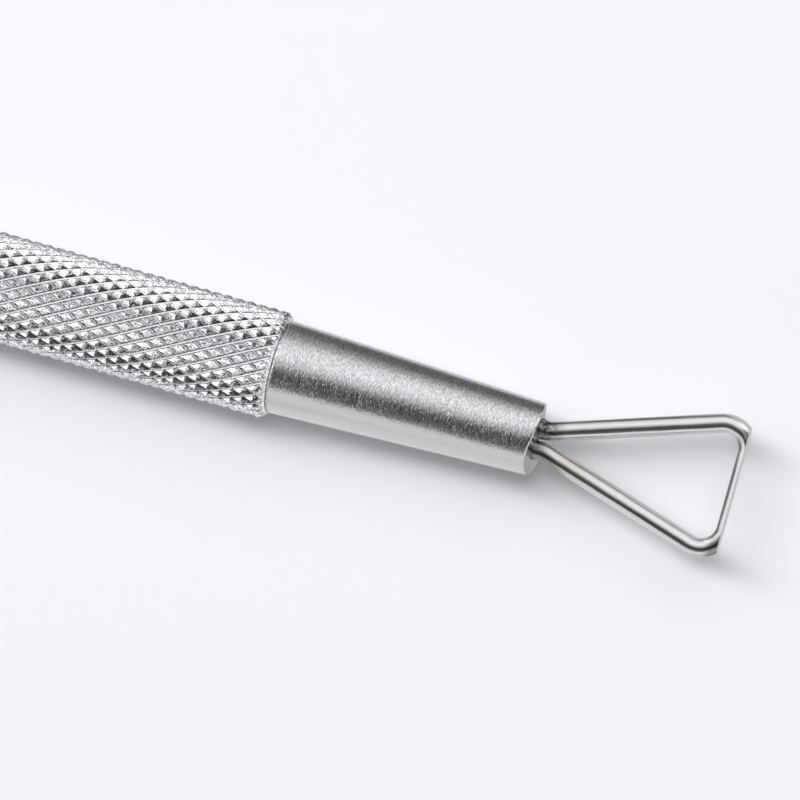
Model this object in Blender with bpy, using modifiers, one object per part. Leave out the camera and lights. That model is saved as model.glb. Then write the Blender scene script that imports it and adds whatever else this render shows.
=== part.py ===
"""Gel nail scraper: a knurled steel handle that carries a triangular scraping loop of wire.

The handle is a knurled tube with a plain turned ferrule pressed into each end. The wire is bent
into a triangle, its two legs are brazed side by side into the nose ferrule, and its front bar is
ground flat to a thin scraping edge. Units are metres. The tool lies along X with the loop at +X
and the plane of the loop level, and Z is up.
"""

import math

import bmesh
import bpy
from mathutils import Vector

# Grip
GRIP_DIAMETER = 0.0080
GRIP_LENGTH = 0.0780
GRIP_BORE = 0.0050
KNURL_STARTS = 25
KNURL_HELIX = math.radians(30.0)
KNURL_DEPTH = 0.00036
KNURL_LEAD_IN = 0.00040
COLLAR_WIDTH = 0.00030
COLLAR_BREAK = 0.00010

# Ferrules
NOSE_LENGTH = 0.0194
NOSE_BASE_DIAMETER = 0.0069
NOSE_TIP_DIAMETER = 0.0054
NOSE_EDGE_RADIUS = 0.00018
TAIL_LENGTH = 0.0180
TAIL_BAND_WIDTH = 0.0030
TAIL_END_DIAMETER = 0.0056
TAIL_EDGE_RADIUS = 0.00060
BASE_BREAK = 0.00008
SPIGOT_LENGTH = 0.0080
SPIGOT_CHAMFER = 0.00040

# Wire loop
WIRE_DIAMETER = 0.00140
LOOP_REACH = 0.01480
LEG_ANGLE = math.radians(17.0)
LEG_DEPTH = 0.0090
LEG_SPACING = 0.00010
LEG_STRAIGHT_OUT = 0.00030
LEG_BEND_RADIUS = 0.0032
CORNER_RADIUS = 0.00180
EDGE_THICKNESS = 0.00050

# Braze
BRAZE_DEPTH = 0.0025
BRAZE_WALL = 0.00025
BRAZE_FILLET = 0.00060
BRAZE_HOLLOW = 1.5

# Clearances
PRESS_GAP = 0.0003
SHOULDER_GAP = 0.0001
LEG_GAP = 0.0001
BRAZE_GAP = 0.0001
BORE_END_GAP = 0.0005

# How finely round shapes are drawn
EDGE_STEPS = 4
WIRE_BEVEL_RESOLUTION = 6
LEG_BEND_STEPS = 5
CORNER_STEPS = 12
MENISCUS_STEPS = 5
MERGE_DISTANCE = 1.0e-6

# Finishes: base colour, roughness
KNURL_FINISH = ((0.66, 0.66, 0.67), 0.22)
BRUSHED_FINISH = ((0.60, 0.60, 0.61), 0.34)
WIRE_FINISH = ((0.68, 0.67, 0.66), 0.14)
BRAZE_FINISH = ((0.34, 0.33, 0.31), 0.55)

# Worked out from the sizes above
KNURL_COLUMNS = 2 * KNURL_STARTS
KNURL_ROOT_RADIUS = GRIP_DIAMETER / 2 - KNURL_DEPTH
SPIGOT_RADIUS = GRIP_BORE / 2 - PRESS_GAP
WIRE_RADIUS = WIRE_DIAMETER / 2
LEG_OFFSET = WIRE_RADIUS + LEG_SPACING / 2
LEG_PAIR_RADIUS = LEG_OFFSET + WIRE_RADIUS
LEG_BORE_RADIUS = LEG_PAIR_RADIUS + LEG_GAP
BRAZE_RADIUS = LEG_PAIR_RADIUS + BRAZE_GAP + BRAZE_WALL
BRAZE_CUP_RADIUS = BRAZE_RADIUS + BRAZE_GAP

# The turned pieces have a facet for each column of the knurl, so they lie flat on the same plane
TURNED_STEPS = KNURL_COLUMNS

# Stations along the tool, measured from the tail end
GRIP_START = TAIL_LENGTH + SHOULDER_GAP
GRIP_END = GRIP_START + GRIP_LENGTH
NOSE_BASE = GRIP_END + SHOULDER_GAP
NOSE_FACE = NOSE_BASE + NOSE_LENGTH
LOOP_FRONT = NOSE_FACE + LOOP_REACH

# The tool rests on the flat between two rows of knurl points
AXIS_HEIGHT = GRIP_DIAMETER / 2 * math.cos(math.pi / KNURL_COLUMNS)


def clear_scene():
    for obj in list(bpy.data.objects):
        bpy.data.objects.remove(obj, do_unlink=True)


def new_collection(name):
    collection = bpy.data.collections.new(name)
    bpy.context.scene.collection.children.link(collection)
    return collection


def metal(name, finish):
    colour, roughness = finish
    material = bpy.data.materials.new(name)
    material.use_nodes = True
    shader = material.node_tree.nodes["Principled BSDF"]
    shader.inputs["Base Color"].default_value = (*colour, 1.0)
    shader.inputs["Roughness"].default_value = roughness
    shader.inputs["Metallic"].default_value = 1.0
    material.diffuse_color = (*colour, 1.0)
    return material


def place(obj, frame, collection, station=0.0):
    """Puts an object on the tool's axis, which is its own Z, at a station from the tail end."""
    collection.objects.link(obj)
    obj.parent = frame
    obj.location = (0.0, 0.0, station)
    return obj


def make_cutter(obj):
    obj.hide_render = True
    obj.display_type = "WIRE"
    return obj


def cut(obj, cutter):
    boolean = obj.modifiers.new("cut_" + cutter.name, "BOOLEAN")
    boolean.operation = "DIFFERENCE"
    boolean.solver = "EXACT"
    boolean.object = cutter


def round_over(corner, towards_start, towards_end, radius, steps):
    """Points of an arc that rounds the corner between two edges of a profile, in order."""
    corner = Vector(corner)
    first = (Vector(towards_start) - corner).normalized()
    last = (Vector(towards_end) - corner).normalized()
    half = first.angle(last) / 2
    centre = corner + (first + last).normalized() * (radius / math.sin(half))
    from_centre = (corner + first * (radius / math.tan(half)) - centre).normalized()
    to_centre = (corner + last * (radius / math.tan(half)) - centre).normalized()
    points = []
    for step in range(steps + 1):
        points.append(tuple(centre + from_centre.slerp(to_centre, step / steps) * radius))
    return points


def turned(name, profile, material):
    """A turned piece from a profile of (radius, height) that starts and ends on its Z axis.

    The profile stands half a step round, which turns the middle of a facet to the object's X.
    """
    mesh = bpy.data.meshes.new(name)
    half_step = math.pi / TURNED_STEPS
    vertices = []
    for radius, height in profile:
        vertices.append((radius * math.cos(half_step), radius * math.sin(half_step), height))
    edges = [(index, index + 1) for index in range(len(profile) - 1)]
    mesh.from_pydata(vertices, edges, [])
    mesh.materials.append(material)
    obj = bpy.data.objects.new(name, mesh)
    screw = obj.modifiers.new("turn", "SCREW")
    screw.axis = "Z"
    screw.steps = TURNED_STEPS
    screw.render_steps = TURNED_STEPS
    screw.use_merge_vertices = True
    screw.merge_threshold = MERGE_DISTANCE
    screw.use_smooth_shade = False
    return obj


def knurl_rows():
    """Rows of the knurl's lattice: heights from the grip's tail end, half an axial pitch apart."""
    round_pitch = math.pi * GRIP_DIAMETER / KNURL_STARTS
    half_axial_pitch = round_pitch / math.tan(KNURL_HELIX) / 2
    first = COLLAR_WIDTH + KNURL_LEAD_IN
    length = GRIP_LENGTH - 2 * first
    count = max(2, round(length / half_axial_pitch))
    return [first + length * row / count for row in range(count + 1)]


def ring(bm, height, radius_at):
    vertices = []
    for column in range(KNURL_COLUMNS):
        angle = (column + 0.5) * 2 * math.pi / KNURL_COLUMNS
        radius = radius_at(column)
        vertices.append(bm.verts.new((radius * math.cos(angle), radius * math.sin(angle), height)))
    return vertices


def join_rings(bm, lower, upper, grooved_from=None):
    """Faces between two rings. Given a row's number, each is split along the groove it lies on."""
    for column in range(KNURL_COLUMNS):
        after = (column + 1) % KNURL_COLUMNS
        near, right = lower[column], lower[after]
        far, above = upper[after], upper[column]
        if grooved_from is None:
            bm.faces.new((near, right, far, above))
        elif (grooved_from + column) % 2 == 0:
            bm.faces.new((near, right, above))
            bm.faces.new((right, far, above))
        else:
            bm.faces.new((near, right, far))
            bm.faces.new((near, far, above))


def knurled_grip(material):
    """The tube that is held: two crossing sets of grooves leave rows of pointed diamonds.

    A point stands where row plus column is even, and two grooves cross where it is odd.
    """
    tip_radius = GRIP_DIAMETER / 2
    collar_radius = KNURL_ROOT_RADIUS
    broken_radius = KNURL_ROOT_RADIUS - COLLAR_BREAK
    bm = bmesh.new()

    def plain(height, radius):
        return ring(bm, height, lambda column: radius)

    def diamonds(height, row):
        return ring(bm, height, lambda column: tip_radius if (row + column) % 2 == 0 else KNURL_ROOT_RADIUS)

    bore_start = plain(0.0, GRIP_BORE / 2)
    tail_side = [plain(0.0, broken_radius), plain(COLLAR_BREAK, collar_radius)]
    knurl = [plain(COLLAR_WIDTH, collar_radius)]
    for row, height in enumerate(knurl_rows()):
        knurl.append(diamonds(height, row + 1))
    knurl.append(plain(GRIP_LENGTH - COLLAR_WIDTH, collar_radius))
    nose_side = [plain(GRIP_LENGTH - COLLAR_BREAK, collar_radius), plain(GRIP_LENGTH, broken_radius)]
    bore_end = plain(GRIP_LENGTH, GRIP_BORE / 2)

    for lower, upper in ((bore_start, tail_side[0]), (tail_side[0], tail_side[1]), (tail_side[1], knurl[0])):
        join_rings(bm, lower, upper)
    for row in range(len(knurl) - 1):
        join_rings(bm, knurl[row], knurl[row + 1], grooved_from=row)
    for lower, upper in ((knurl[-1], nose_side[0]), (nose_side[0], nose_side[1]), (nose_side[1], bore_end)):
        join_rings(bm, lower, upper)
    join_rings(bm, bore_end, bore_start)

    mesh = bpy.data.meshes.new("knurled_grip")
    bm.to_mesh(mesh)
    bm.free()
    mesh.materials.append(material)
    return bpy.data.objects.new("knurled_grip", mesh)


def nose_ferrule(material):
    """Tapered nose with a spigot that seats in the grip, a bore for the legs and a cup for the braze."""
    base_radius = NOSE_BASE_DIAMETER / 2
    tip_radius = NOSE_TIP_DIAMETER / 2
    bore_end = NOSE_LENGTH - LEG_DEPTH - BORE_END_GAP
    cup_floor = NOSE_LENGTH - BRAZE_DEPTH - BRAZE_GAP
    mouth = (BRAZE_CUP_RADIUS, NOSE_LENGTH)
    tip = (tip_radius, NOSE_LENGTH)
    base = (base_radius, BASE_BREAK)
    profile = [
        (0.0, bore_end),
        (LEG_BORE_RADIUS, bore_end),
        (LEG_BORE_RADIUS, cup_floor),
        (BRAZE_CUP_RADIUS, cup_floor),
        mouth,
        *round_over(tip, mouth, base, NOSE_EDGE_RADIUS, EDGE_STEPS),
        base,
        (base_radius - BASE_BREAK, 0.0),
        (SPIGOT_RADIUS, 0.0),
        (SPIGOT_RADIUS, SPIGOT_CHAMFER - SPIGOT_LENGTH),
        (SPIGOT_RADIUS - SPIGOT_CHAMFER, -SPIGOT_LENGTH),
        (0.0, -SPIGOT_LENGTH),
    ]
    return turned("nose_ferrule", profile, material)


def tail_ferrule(material):
    """Plain tail with a spigot for the other end of the grip: a band as wide as the grip, then a taper.

    The band lies on the table with the grip, so the tool rests on both.
    """
    band_radius = GRIP_DIAMETER / 2
    end_radius = TAIL_END_DIAMETER / 2
    end = (end_radius, 0.0)
    band_end = (band_radius, TAIL_LENGTH - TAIL_BAND_WIDTH)
    spigot_end = TAIL_LENGTH + SPIGOT_LENGTH
    profile = [
        (0.0, spigot_end),
        (SPIGOT_RADIUS - SPIGOT_CHAMFER, spigot_end),
        (SPIGOT_RADIUS, spigot_end - SPIGOT_CHAMFER),
        (SPIGOT_RADIUS, TAIL_LENGTH),
        (band_radius - BASE_BREAK, TAIL_LENGTH),
        (band_radius, TAIL_LENGTH - BASE_BREAK),
        band_end,
        *round_over(end, band_end, (0.0, 0.0), TAIL_EDGE_RADIUS, EDGE_STEPS),
        (0.0, 0.0),
    ]
    return turned("tail_ferrule", profile, material)


def leg_bend():
    """One leg's first bend, from the tool's axis to the leg's own slope, as (offset, height)."""
    points = []
    for step in range(LEG_BEND_STEPS + 1):
        turn = LEG_ANGLE * step / LEG_BEND_STEPS
        offset = LEG_OFFSET + LEG_BEND_RADIUS * (1 - math.cos(turn))
        height = LEG_STRAIGHT_OUT + LEG_BEND_RADIUS * math.sin(turn)
        points.append((offset, height))
    return points


def half_loop():
    """One half of the wire's centre line, as (offset, height) from the nose face, root to corner."""
    points = [(LEG_OFFSET, -LEG_DEPTH), *leg_bend()]
    bar_height = LOOP_REACH - EDGE_THICKNESS + WIRE_RADIUS
    bend_offset, bend_height = points[-1]
    corner_offset = bend_offset + (bar_height - bend_height) * math.tan(LEG_ANGLE)
    turn = math.pi / 2 + LEG_ANGLE
    setback = CORNER_RADIUS * math.tan(turn / 2)
    start_offset = corner_offset - setback * math.sin(LEG_ANGLE)
    start_height = bar_height - setback * math.cos(LEG_ANGLE)
    centre_offset = start_offset - CORNER_RADIUS * math.cos(LEG_ANGLE)
    centre_height = start_height + CORNER_RADIUS * math.sin(LEG_ANGLE)
    for step in range(CORNER_STEPS + 1):
        around = turn * step / CORNER_STEPS - LEG_ANGLE
        points.append((
            centre_offset + CORNER_RADIUS * math.cos(around),
            centre_height + CORNER_RADIUS * math.sin(around),
        ))
    return points


def wire_mesh(name, centre_line, radius):
    """A round wire along a centre line of (offset, height) in the loop's plane, as a closed mesh."""
    curve = bpy.data.curves.new(name, "CURVE")
    curve.dimensions = "3D"
    curve.bevel_depth = radius
    curve.bevel_resolution = WIRE_BEVEL_RESOLUTION
    curve.use_fill_caps = True
    spline = curve.splines.new("POLY")
    spline.points.add(len(centre_line) - 1)
    for point, (offset, height) in zip(spline.points, centre_line):
        point.co = (0.0, offset, height, 1.0)
    guide = bpy.data.objects.new(name + "_line", curve)
    bpy.context.scene.collection.objects.link(guide)
    depsgraph = bpy.context.evaluated_depsgraph_get()
    mesh = bpy.data.meshes.new_from_object(guide.evaluated_get(depsgraph))
    mesh.name = name
    bpy.data.objects.remove(guide, do_unlink=True)
    bm = bmesh.new()
    bm.from_mesh(mesh)
    bmesh.ops.remove_doubles(bm, verts=bm.verts, dist=MERGE_DISTANCE)
    bmesh.ops.recalc_face_normals(bm, faces=bm.faces)
    bm.to_mesh(mesh)
    bm.free()
    return bpy.data.objects.new(name, mesh)


def wire_loop(material, frame, parts, cutters):
    """The scraping loop: one wire bent to a triangle, with the front of its bar ground flat."""
    one_side = half_loop()
    other_side = [(-offset, height) for offset, height in reversed(one_side)]
    loop = place(wire_mesh("wire_loop", one_side + other_side, WIRE_RADIUS), frame, parts, NOSE_FACE)
    loop.data.materials.clear()
    loop.data.materials.append(material)

    loop_width = 2 * (max(offset for offset, height in one_side) + WIRE_RADIUS)
    block_size = (2 * WIRE_DIAMETER, loop_width + WIRE_DIAMETER, 2 * WIRE_DIAMETER)
    block = bmesh.new()
    bmesh.ops.create_cube(block, size=1.0)
    bmesh.ops.scale(block, vec=block_size, verts=block.verts)
    mesh = bpy.data.meshes.new("front_grind")
    block.to_mesh(mesh)
    block.free()
    grind = make_cutter(bpy.data.objects.new("front_grind", mesh))
    place(grind, frame, cutters, LOOP_FRONT + WIRE_DIAMETER)
    cut(loop, grind)


def braze_fill(material, frame, parts, cutters):
    """The braze that fills the cup in the nose's mouth and creeps up round the two legs."""
    profile = []
    for step in range(MENISCUS_STEPS + 1):
        share = step / MENISCUS_STEPS
        profile.append((BRAZE_RADIUS * share, BRAZE_FILLET * (1 - share) ** BRAZE_HOLLOW))
    profile.append((BRAZE_RADIUS, -BRAZE_DEPTH))
    profile.append((0.0, -BRAZE_DEPTH))
    braze = place(turned("braze_fill", profile, material), frame, parts, NOSE_FACE)
    leg = [(LEG_OFFSET, -BRAZE_DEPTH - WIRE_DIAMETER), *leg_bend()]
    for side, sign in (("left", 1), ("right", -1)):
        line = [(sign * offset, height) for offset, height in leg]
        hole = make_cutter(wire_mesh(side + "_leg_hole", line, WIRE_RADIUS + BRAZE_GAP))
        place(hole, frame, cutters, NOSE_FACE)
        cut(braze, hole)


def main():
    clear_scene()
    parts = new_collection("gel_nail_scraper")
    cutters = new_collection("cutters")
    frame = bpy.data.objects.new("tool_frame", None)
    parts.objects.link(frame)
    frame.location = (-LOOP_FRONT / 2, 0.0, AXIS_HEIGHT)
    frame.rotation_euler = (0.0, math.pi / 2, 0.0)

    place(knurled_grip(metal("knurled_steel", KNURL_FINISH)), frame, parts, GRIP_START)
    place(nose_ferrule(metal("brushed_steel", BRUSHED_FINISH)), frame, parts, NOSE_BASE)
    place(tail_ferrule(metal("brushed_steel_tail", BRUSHED_FINISH)), frame, parts)
    wire_loop(metal("polished_wire", WIRE_FINISH), frame, parts, cutters)
    braze_fill(metal("silver_braze", BRAZE_FINISH), frame, parts, cutters)


main()
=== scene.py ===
"""Gel nail scraper: a knurled grip, two turned ferrules, a ground wire loop and the braze at its root.

Laid out as an add-on and run as a script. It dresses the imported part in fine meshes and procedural
metals, and stands it on a pale table under soft light. Lengths are metres, and +X is the loop's end.
"""

import math

import bmesh
import bpy
import numpy as np
from bpy.props import FloatProperty, FloatVectorProperty, IntProperty, PointerProperty
from mathutils import Matrix, Vector, noise


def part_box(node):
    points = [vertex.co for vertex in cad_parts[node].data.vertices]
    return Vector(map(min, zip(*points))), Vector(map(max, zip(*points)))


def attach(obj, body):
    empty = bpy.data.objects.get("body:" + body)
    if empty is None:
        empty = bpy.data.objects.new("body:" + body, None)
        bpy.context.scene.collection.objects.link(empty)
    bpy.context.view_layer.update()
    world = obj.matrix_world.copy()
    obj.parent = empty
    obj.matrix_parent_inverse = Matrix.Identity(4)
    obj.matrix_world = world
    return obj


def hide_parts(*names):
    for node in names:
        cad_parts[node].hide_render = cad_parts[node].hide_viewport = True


bl_info = {
    "name": "Gel nail scraper",
    "version": (1, 0, 0),
    "blender": (4, 5, 0),
    "location": "3D View > Sidebar > Scraper",
    "description": "Fine meshes, metals and a studio for a knurled nail scraper",
    "category": "Add Mesh",
}

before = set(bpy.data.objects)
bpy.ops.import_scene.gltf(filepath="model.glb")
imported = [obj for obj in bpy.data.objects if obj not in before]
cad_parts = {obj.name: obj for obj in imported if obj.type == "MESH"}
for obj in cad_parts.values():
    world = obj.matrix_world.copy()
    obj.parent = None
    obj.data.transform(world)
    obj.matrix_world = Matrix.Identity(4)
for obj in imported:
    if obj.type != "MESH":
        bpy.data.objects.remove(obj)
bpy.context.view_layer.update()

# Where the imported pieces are
GRIP_LOW, GRIP_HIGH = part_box("knurled_grip")
NOSE_LOW, NOSE_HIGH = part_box("nose_ferrule")
TAIL_LOW, TAIL_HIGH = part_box("tail_ferrule")
LOOP_LOW, LOOP_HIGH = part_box("wire_loop")
BRAZE_LOW, BRAZE_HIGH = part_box("braze_fill")
AXIS_HEIGHT = (GRIP_LOW.z + GRIP_HIGH.z) / 2
GRIP_LENGTH = GRIP_HIGH.x - GRIP_LOW.x

MILLIMETRE = 0.001
TURN = 2 * math.pi


class ScraperSizes(bpy.types.PropertyGroup):
    """Sizes of the scraper's own forms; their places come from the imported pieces."""

    grip_diameter: FloatProperty(
        name="Grip diameter", description="Over the points of the knurl",
        default=GRIP_HIGH.y - GRIP_LOW.y, unit="LENGTH", subtype="DISTANCE")
    bore_diameter: FloatProperty(
        name="Grip bore", description="Hole right through the grip",
        default=0.0050, unit="LENGTH", subtype="DISTANCE")
    knurl_starts: IntProperty(
        name="Knurl starts", description="Grooves of each hand round the grip",
        default=25, min=8)
    knurl_helix: FloatProperty(
        name="Knurl helix", description="Angle of the grooves to the axis",
        default=math.radians(30.0), unit="ROTATION", subtype="ANGLE")
    knurl_depth: FloatProperty(
        name="Knurl depth", description="From the points down to the grooves",
        default=0.00034, unit="LENGTH", subtype="DISTANCE")
    bevel_width: FloatProperty(
        name="Bevel width", description="Plain part of the bevel at each end of the knurl",
        default=0.00016, unit="LENGTH", subtype="DISTANCE")
    nose_base_diameter: FloatProperty(
        name="Nose base", description="Nose diameter at the grip",
        default=NOSE_HIGH.y - NOSE_LOW.y, unit="LENGTH", subtype="DISTANCE")
    nose_tip_diameter: FloatProperty(
        name="Nose tip", description="Nose diameter at its end face",
        default=0.0054, unit="LENGTH", subtype="DISTANCE")
    nose_edge_radius: FloatProperty(
        name="Nose edge", description="Rounding of the end face's rim",
        default=0.00018, unit="LENGTH", subtype="DISTANCE")
    tail_band_width: FloatProperty(
        name="Tail band", description="Straight part of the tail, as wide as the grip",
        default=0.0030, unit="LENGTH", subtype="DISTANCE")
    tail_end_diameter: FloatProperty(
        name="Tail end", description="Tail diameter at its end face",
        default=0.0056, unit="LENGTH", subtype="DISTANCE")
    tail_edge_radius: FloatProperty(
        name="Tail edge", description="Rounding of the tail's end",
        default=0.00060, unit="LENGTH", subtype="DISTANCE")
    wire_diameter: FloatProperty(
        name="Wire diameter", description="Round wire of the loop",
        default=LOOP_HIGH.z - LOOP_LOW.z, unit="LENGTH", subtype="DISTANCE")
    leg_angle: FloatProperty(
        name="Leg angle", description="Each leg to the tool's axis",
        default=math.radians(17.4), unit="ROTATION", subtype="ANGLE")
    leg_bend_radius: FloatProperty(
        name="Leg bend", description="Bend where the legs leave the nose",
        default=0.0032, unit="LENGTH", subtype="DISTANCE")
    corner_radius: FloatProperty(
        name="Loop corner", description="Bend at the two front corners",
        default=0.0018, unit="LENGTH", subtype="DISTANCE")
    edge_thickness: FloatProperty(
        name="Edge thickness", description="What the grinding leaves of the front bar",
        default=0.0005, unit="LENGTH", subtype="DISTANCE")
    braze_climb: FloatProperty(
        name="Braze climb", description="How far the braze creeps up the legs",
        default=0.00085, unit="LENGTH", subtype="DISTANCE")


class ScraperColours(bpy.types.PropertyGroup):
    """Base colours of the metals and of the table."""

    knurl: FloatVectorProperty(
        name="Knurl", description="Bright knurled steel",
        default=(0.885, 0.87, 0.90), size=3, subtype="COLOR", min=0.0, max=1.0)
    brushed: FloatVectorProperty(
        name="Brushed steel", description="Nose and tail",
        default=(0.605, 0.59, 0.605), size=3, subtype="COLOR", min=0.0, max=1.0)
    wire: FloatVectorProperty(
        name="Wire", description="Polished wire",
        default=(0.675, 0.668, 0.68), size=3, subtype="COLOR", min=0.0, max=1.0)
    tint: FloatVectorProperty(
        name="Heat tint", description="Straw stain that the brazing leaves on the wire",
        default=(0.50, 0.47, 0.40), size=3, subtype="COLOR", min=0.0, max=1.0)
    braze: FloatVectorProperty(
        name="Braze", description="Dull silver braze",
        default=(0.34, 0.33, 0.325), size=3, subtype="COLOR", min=0.0, max=1.0)
    table: FloatVectorProperty(
        name="Table", description="Pale table top",
        default=(0.938, 0.928, 0.962), size=3, subtype="COLOR", min=0.0, max=1.0)


class ScraperStudio(bpy.types.PropertyGroup):
    """Where the picture is taken from, and how bright its lights are."""

    aim: FloatVectorProperty(
        name="Aim", description="Point in the middle of the picture",
        default=(0.04007, 0.00004, 0.00399), size=3, unit="LENGTH", subtype="TRANSLATION")
    distance: FloatProperty(
        name="Distance", description="From the aim to the camera",
        default=0.3854, unit="LENGTH", subtype="DISTANCE")
    azimuth: FloatProperty(
        name="Azimuth", description="Camera's direction from +X, seen from above",
        default=math.radians(7.70), unit="ROTATION", subtype="ANGLE")
    elevation: FloatProperty(
        name="Elevation", description="Camera's height above the table",
        default=math.radians(79.756), unit="ROTATION", subtype="ANGLE")
    roll: FloatProperty(
        name="Roll", description="Turn of the camera about its own line of sight",
        default=math.radians(-82.02), unit="ROTATION", subtype="ANGLE")
    focal_length: FloatProperty(
        name="Focal length", description="Of the camera, in millimetres",
        default=240.0, min=10.0)
    light: FloatProperty(
        name="Light", description="Strength of the soft lights together, 1 lights a white table fully",
        default=1.14, min=0.0)
    fill: FloatProperty(
        name="Fill", description="Strength of the light from all round",
        default=0.19, min=0.0)


# Meshes

def new_object(name, mesh, materials):
    """An object in the scene, with its materials in order."""
    for material in materials:
        mesh.materials.append(material)
    obj = bpy.data.objects.new(name, mesh)
    bpy.context.scene.collection.objects.link(obj)
    return obj


def dress(name, mesh, materials, node):
    """Puts a piece on the tool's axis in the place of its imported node."""
    piece = new_object(name, mesh, materials)
    piece.location.z = AXIS_HEIGHT
    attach(piece, "root")
    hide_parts(node)
    return piece


def shade(mesh, sharp_degrees):
    """Smooth shading, with edges sharper than the given angle kept crisp."""
    mesh.shade_smooth()
    mesh.set_sharp_from_angle(angle=math.radians(sharp_degrees))


def finished_mesh(name, bm, sharp_degrees):
    """A shaded mesh from a working one, with its normals outwards."""
    bmesh.ops.recalc_face_normals(bm, faces=bm.faces)
    mesh = bpy.data.meshes.new(name)
    bm.to_mesh(mesh)
    bm.free()
    shade(mesh, sharp_degrees)
    return mesh


def smooth_step(value, low, high):
    """Rises from 0 at low to 1 at high, with soft ends."""
    share = min(1.0, max(0.0, (value - low) / (high - low)))
    return share * share * (3 - 2 * share)


def ring_triangles(rings, columns, slanted):
    """Triangles between closed rings, the last joined to the first.

    slanted[ring, column] is true where a cell is split from its right lower to its left upper corner.
    """
    ring, column = np.meshgrid(np.arange(rings), np.arange(columns), indexing="ij")
    above, right = (ring + 1) % rings, (column + 1) % columns
    near = ring * columns + column
    near_right = ring * columns + right
    far = above * columns + column
    far_right = above * columns + right
    first = np.stack([near, near_right, np.where(slanted, far, far_right)])
    second = np.stack([np.where(slanted, near_right, near), far_right, far])
    return np.concatenate([first.reshape(3, -1).T, second.reshape(3, -1).T])


KNURL_CELLS = 4  # mesh steps in a step of the knurl's lattice
KNURL_BULGE = 1.25  # 1 gives the diamonds flat sides, and more makes them fuller
KNURL_GRAIN = 0.0000030  # roughness that the rolling leaves on the facets
KNURL_END_ROOM = 0.0007  # from each end of the grip to the nearest row of points
BEVEL_SLOPE = 1.15  # fall of the bevel at each end of the grip, over its width
# The knurl's dark tones, its painted groove shade among them, fade out towards the grip's ends
BEVEL_SHINE = (0.00018, 0.00012)  # from the grip's ends to where the knurl's dark tones fade out
RING_GAP = 0.00001  # keeps the rim of the end face apart from the foot of the bevel


def from_grooves(column, row):
    """Distance from the grooves of each hand, 0 in the groove and 1 halfway to the next.

    Points stand where column plus row is even, and grooves cross where it is odd.
    """
    return np.abs((column + row) % 2 - 1), np.abs((column - row) % 2 - 1)


def knurl_rows(sizes):
    """The rows of the knurl's mesh from one end of the grip to the other, and their stations."""
    half_pitch = math.pi * sizes.grip_diameter / sizes.knurl_starts / math.tan(sizes.knurl_helix) / 2
    pointed = GRIP_LENGTH - 2 * KNURL_END_ROOM
    count = max(2, round(pointed / half_pitch))
    row_pitch = pointed / count
    overrun = KNURL_END_ROOM / row_pitch
    start, end = 1 - overrun, 1 + count + overrun
    steps = np.arange(math.ceil(start * KNURL_CELLS), math.floor(end * KNURL_CELLS) + 1) / KNURL_CELLS
    rows = np.concatenate([[start], steps, [end]])
    return rows, KNURL_END_ROOM + (rows - 1) * row_pitch


def knurled_mesh(sizes):
    """The knurled tube: pyramids with bulging sides, cut back by a bevel at each end."""
    columns = 2 * sizes.knurl_starts * KNURL_CELLS
    root = sizes.grip_diameter / 2 - sizes.knurl_depth
    rng = np.random.default_rng(25)

    rows, station = knurl_rows(sizes)
    column = np.arange(columns) / KNURL_CELLS
    angle = (column + 0.5) * TURN / (2 * sizes.knurl_starts)
    row_grid, column_grid = np.meshgrid(rows, column, indexing="ij")
    height = 1 - (1 - np.minimum(*from_grooves(column_grid, row_grid))) ** KNURL_BULGE
    from_bevel = np.minimum(station, GRIP_LENGTH - station)[:, None] - sizes.bevel_width
    radius = np.minimum(root + height * sizes.knurl_depth, root + BEVEL_SLOPE * from_bevel)
    radius += rng.normal(0.0, KNURL_GRAIN, radius.shape) * (from_bevel > 0)

    face_rim = root - BEVEL_SLOPE * sizes.bevel_width - RING_GAP
    start_rings = [(0.0, sizes.bore_diameter / 2), (0.0, face_rim)]
    end_rings = [(GRIP_LENGTH - x, r) for x, r in reversed(start_rings)]
    plain = np.ones(columns)
    stations = np.concatenate([[x for x, r in start_rings], station, [x for x, r in end_rings]])
    radii = np.concatenate([[r * plain for x, r in start_rings], radius, [r * plain for x, r in end_rings]])

    x = GRIP_LOW.x + stations[:, None] * plain
    points = np.stack([x, radii * np.sin(angle), -radii * np.cos(angle)], axis=-1).reshape(-1, 3)
    middle_row = (row_grid[:-1, :] + row_grid[1:, :]) / 2
    one_hand, other_hand = from_grooves(column_grid[:-1, :] + 0.5 / KNURL_CELLS, middle_row)
    slanted = np.zeros((len(stations), columns), bool)
    slanted[len(start_rings):len(start_rings) + len(rows) - 1] = one_hand < other_hand
    triangles = ring_triangles(len(stations), columns, slanted)

    mesh = bpy.data.meshes.new("knurled_tube")
    mesh.from_pydata(points.tolist(), [], triangles.tolist())
    lattice_row = np.concatenate([[rows[0]] * 2, rows, [rows[-1]] * 2])
    lattice_row = np.repeat(lattice_row, columns)
    mark_lattice(mesh, np.tile(column, len(stations)), lattice_row, columns / KNURL_CELLS)
    shade(mesh, 38.0)
    return mesh


def mark_lattice(mesh, column, row, columns):
    """Stores the knurl's lattice coordinates as a UV map, with the seam's cells closed."""
    corner_vertex = np.zeros(len(mesh.loops), int)
    mesh.loops.foreach_get("vertex_index", corner_vertex)
    u = column[corner_vertex]
    per_face = u.reshape(-1, 3)
    across_seam = (per_face.max(axis=1) - per_face.min(axis=1)) > columns / 2
    per_face[across_seam] += np.where(per_face[across_seam] < columns / 2, columns, 0)
    layer = mesh.uv_layers.new(name="lattice")
    layer.data.foreach_set("uv", np.stack([per_face.ravel(), row[corner_vertex]], axis=-1).ravel())


def arc(centre, radius, start, end, steps):
    """Points of an arc in a profile's plane; angles in radians."""
    points = []
    for step in range(steps + 1):
        around = start + (end - start) * step / steps
        points.append((centre[0] + radius * math.cos(around), centre[1] + radius * math.sin(around)))
    return points


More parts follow.
